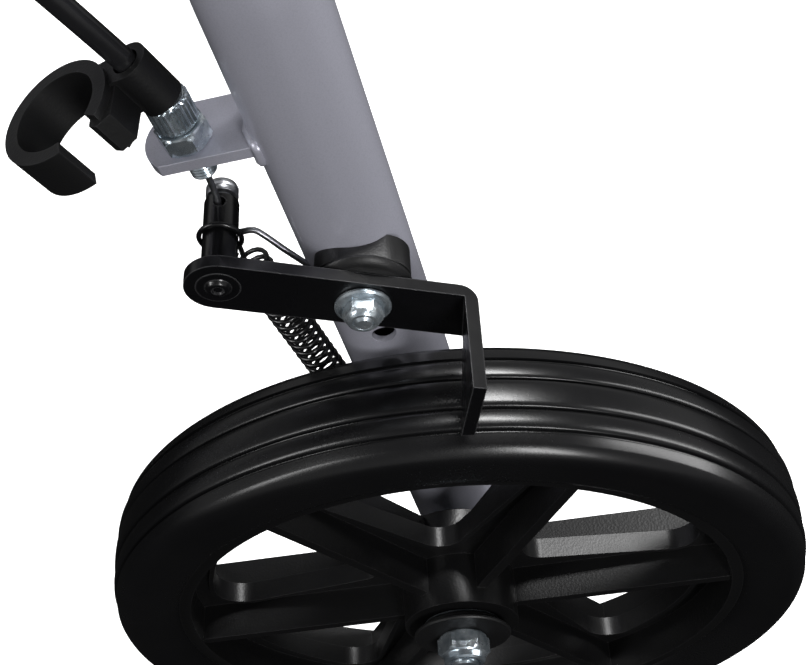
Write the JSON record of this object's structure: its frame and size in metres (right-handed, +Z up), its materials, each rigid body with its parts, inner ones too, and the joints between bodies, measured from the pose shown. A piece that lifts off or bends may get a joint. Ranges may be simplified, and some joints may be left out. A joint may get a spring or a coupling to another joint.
{
  "type": "knee scooter",
  "caption": "Steerable knee scooter: tube frame on solid-tyred wheels, split knee pad on a sliding post, folding column with grips, and a cable brake that presses on a rear tyre.",
  "frame": {"origin": "on the floor, under the middle of the bounding box, midway between the front and rear tyres", "axes": "+X forward, +Y to the rider's left (the side with the brake), +Z up"},
  "size_m": [0.76, 0.45, 0.9425],
  "materials": {
    "frame_paint": "metallic lilac-grey paint, satin gloss",
    "black_paint": "gloss black paint",
    "zinc": "bright zinc plating",
    "satin_tube": "satin silver",
    "wire": "dark steel wire",
    "tyre": "semi-gloss black rubber",
    "core": "moulded black plastic, fine grain",
    "black_plastic": "matte black plastic",
    "housing": "smooth black cable sleeve",
    "grip": "soft black grip rubber",
    "vinyl": "black vinyl with a fine grain",
    "red_plastic": "red plastic"
  },
  "bodies": {
    "frame": {"rear_hoop": "frame_paint", "main_beam": "frame_paint", "head_tube": "frame_paint", "seat_socket": "frame_paint", "brake_tab": "frame_paint", "headset_cups": "black_plastic", "axle_bolts_rear": "zinc", "axle_nuts_rear": "zinc", "axle_washers_rear": "black_plastic", "brake_pivot_bolt": "zinc", "brake_pivot_nut": "zinc", "pivot_washers": "black_plastic", "cable_adjuster": "zinc", "adjuster_nut": "zinc", "cable_clip": "black_plastic", "cable_guides": "black_plastic", "housing_frame": "housing", "housing_steer": "housing"},
    "steering": {"front_hoop": "frame_paint", "steerer": "frame_paint", "headset_nut": "black_paint", "fold_clevis": "frame_paint", "fold_bolt": "zinc", "axle_bolts_front": "zinc", "axle_nuts_front": "zinc", "axle_washers_front": "black_plastic", "housing_fold": "housing"},
    "column": {"column_tube": "frame_paint", "column_clamp": "black_paint", "clamp_bolt": "zinc", "housing_bar": "housing"},
    "handlebar": {"stem_tube": "satin_tube", "handlebar": "satin_tube", "grips": "grip", "lever_perch": "black_plastic"},
    "seat": {"seat_post": "satin_tube", "seat_plate": "black_paint", "cushion_left": "vinyl", "cushion_right": "vinyl"},
    "fold_pin": {"fold_pin": "black_plastic"},
    "clamp_lever": {"clamp_lever": "black_plastic"},
    "brake_lever": {"brake_lever": "black_paint"},
    "park_lock": {"park_lock": "red_plastic"},
    "seat_pin": {"seat_pin": "black_plastic"},
    "brake_arm": {"brake_arm": "black_paint", "brake_wire": "wire", "return_spring": "black_paint"},
    "anchor_pin": {"anchor_pin": "black_paint"},
    "wheel_rear_left": {"tyre_rear_left": "tyre", "core_rear_left": "core", "bearings_rear_left": "zinc"},
    "wheel_rear_right": {"tyre_rear_right": "tyre", "core_rear_right": "core", "bearings_rear_right": "zinc"},
    "wheel_front_left": {"tyre_front_left": "tyre", "core_front_left": "core", "bearings_front_left": "zinc"},
    "wheel_front_right": {"tyre_front_right": "tyre", "core_front_right": "core", "bearings_front_right": "zinc"}
  },
  "joints": [
    {"name": "spin_rear_left", "type": "hinge", "parent": "frame", "child": "wheel_rear_left", "pos_m": [-0.28, 0.196, 0.1], "axis": [0, 1, 0], "continuous": true},
    {"name": "spin_rear_right", "type": "hinge", "parent": "frame", "child": "wheel_rear_right", "pos_m": [-0.28, -0.196, 0.1], "axis": [0, 1, 0], "continuous": true},
    {"name": "spin_front_left", "type": "hinge", "parent": "steering", "child": "wheel_front_left", "pos_m": [0.28, 0.14, 0.1], "axis": [0, 1, 0], "continuous": true},
    {"name": "spin_front_right", "type": "hinge", "parent": "steering", "child": "wheel_front_right", "pos_m": [0.28, -0.14, 0.1], "axis": [0, 1, 0], "continuous": true},
    {"name": "steer", "type": "hinge", "parent": "frame", "child": "steering", "pos_m": [0.28, 0, 0.335], "axis": [0, 0, 1], "range_deg": [-30, 30], "deforming": ["housing_steer"]},
    {"name": "fold", "type": "hinge", "parent": "steering", "child": "column", "pos_m": [0.28, 0, 0.545], "axis": [0, -1, 0], "range_deg": [0, 78], "deforming": ["housing_fold"]},
    {"name": "fold_pin_pull", "type": "slide", "parent": "steering", "child": "fold_pin", "axis": [0, -1, 0], "range_m": [0, 0.008], "stiffness_N_per_m": 400},
    {"name": "bar_height", "type": "slide", "parent": "column", "child": "handlebar", "axis": [-0.2079, 0, 0.9781], "range_m": [-0.08, 0.05], "deforming": ["housing_bar"]},
    {"name": "clamp_lever_turn", "type": "hinge", "parent": "column", "child": "clamp_lever", "pos_m": [0.264, -0.0165, 0.75016], "axis": [-0.2079, 0, 0.9781], "range_deg": [0, 110]},
    {"name": "lever_squeeze", "type": "hinge", "parent": "handlebar", "child": "brake_lever", "pos_m": [0.23167, 0.06, 0.92628], "axis": [-0.2079, 0, 0.9781], "range_deg": [0, 20], "stiffness_Nm_per_rad": 1, "springref_deg": -5.73},
    {"name": "park_lock_turn", "type": "hinge", "parent": "handlebar", "child": "park_lock", "pos_m": [0.2258, 0.067, 0.92504], "axis": [-0.2079, 0, 0.9781], "range_deg": [0, 30]},
    {"name": "seat_height", "type": "slide", "parent": "frame", "child": "seat", "axis": [0, 0, 1], "range_m": [-0.04, 0.02]},
    {"name": "seat_pin_pull", "type": "slide", "parent": "frame", "child": "seat_pin", "axis": [0, -1, 0], "range_m": [0, 0.008], "stiffness_N_per_m": 400},
    {"name": "brake_arm_turn", "type": "hinge", "parent": "frame", "child": "brake_arm", "pos_m": [-0.2552, 0.186, 0.2246], "axis": [0, -1, 0], "range_deg": [0, 15.5], "stiffness_Nm_per_rad": 0.6, "springref_deg": -11.46, "deforming": ["brake_wire", "return_spring"]},
    {"name": "anchor_pin_turn", "type": "hinge", "parent": "brake_arm", "child": "anchor_pin", "pos_m": [-0.22415, 0.172, 0.23275], "axis": [0, 1, 0], "range_deg": [0, 15.5]}
  ],
  "couplings": [
    {"joint": "brake_arm_turn", "follows": "lever_squeeze", "ratio": 0.775},
    {"joint": "anchor_pin_turn", "follows": "lever_squeeze", "ratio": 0.775}
  ]
}
